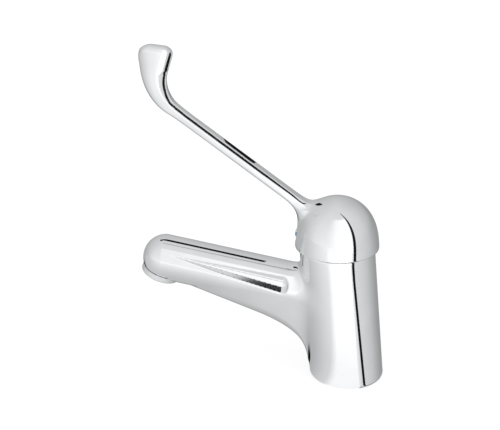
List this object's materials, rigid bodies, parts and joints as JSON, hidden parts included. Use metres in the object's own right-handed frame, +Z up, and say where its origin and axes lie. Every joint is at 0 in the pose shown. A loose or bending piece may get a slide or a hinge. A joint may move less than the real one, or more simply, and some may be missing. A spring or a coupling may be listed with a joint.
{
  "type": "elbow lever basin tap",
  "caption": "Single-lever basin mixer tap with a leaning round column, fixed spout with aerator, domed handle and long elbow lever ending in an upturned paddle.",
  "frame": {"origin": "centre of the base on the deck", "axes": "+Z up, -Y forward along the spout, +X to the right of a user who faces the spout"},
  "size_m": [0.055, 0.1649, 0.2226],
  "materials": {
    "chrome": "polished chrome plating on brass and zinc",
    "rubber": "moulded black rubber",
    "insert_plastic": "moulded acetal",
    "grid_plastic": "moulded acetal",
    "cartridge_plastic": "moulded acetal",
    "rotor_plastic": "moulded acetal",
    "limit_plastic": "moulded acetal",
    "ceramic": "lapped alumina",
    "brass": "turned brass",
    "steel": "turned stainless steel",
    "index_white": "gloss moulded plastic",
    "index_blue": "gloss moulded plastic",
    "index_red": "gloss moulded plastic"
  },
  "bodies": {
    "body": {"mixer_body": "chrome", "base_gasket": "rubber", "aerator_housing": "chrome", "aerator_insert": "insert_plastic", "aerator_grid": "grid_plastic", "aerator_washer": "rubber", "port_plate": "cartridge_plastic", "port_seals": "rubber", "cartridge_housing": "cartridge_plastic", "fixed_disc": "ceramic", "cartridge_seal": "rubber", "retaining_nut": "brass", "cover_ring": "chrome", "limit_ring": "limit_plastic"},
    "swivel": {"rotor": "rotor_plastic", "rotor_seal": "rubber", "pivot_pin": "steel"},
    "carriage": {"disc_carrier": "rotor_plastic", "sliding_disc": "ceramic"},
    "lever": {"spindle": "steel", "handle_cap": "chrome", "lever_arm": "chrome", "set_screw": "steel", "index_plug": "index_white", "cold_dot": "index_blue", "hot_dot": "index_red"}
  },
  "joints": [
    {"name": "lever_turn", "type": "hinge", "parent": "body", "child": "swivel", "pos_m": [0, -0.009, 0.084], "axis": [0, 0, 1], "range_deg": [-45, 45]},
    {"name": "lever_lift", "type": "hinge", "parent": "swivel", "child": "lever", "pos_m": [0, -0.009, 0.084], "axis": [-1, 0, 0], "range_deg": [0, 22]},
    {"name": "disc_slide", "type": "slide", "parent": "swivel", "child": "carriage", "axis": [0, -1, 0], "range_m": [0, 0.0075]}
  ],
  "couplings": [
    {"joint": "disc_slide", "follows": "lever_lift", "m_per_rad": 0.019}
  ]
}
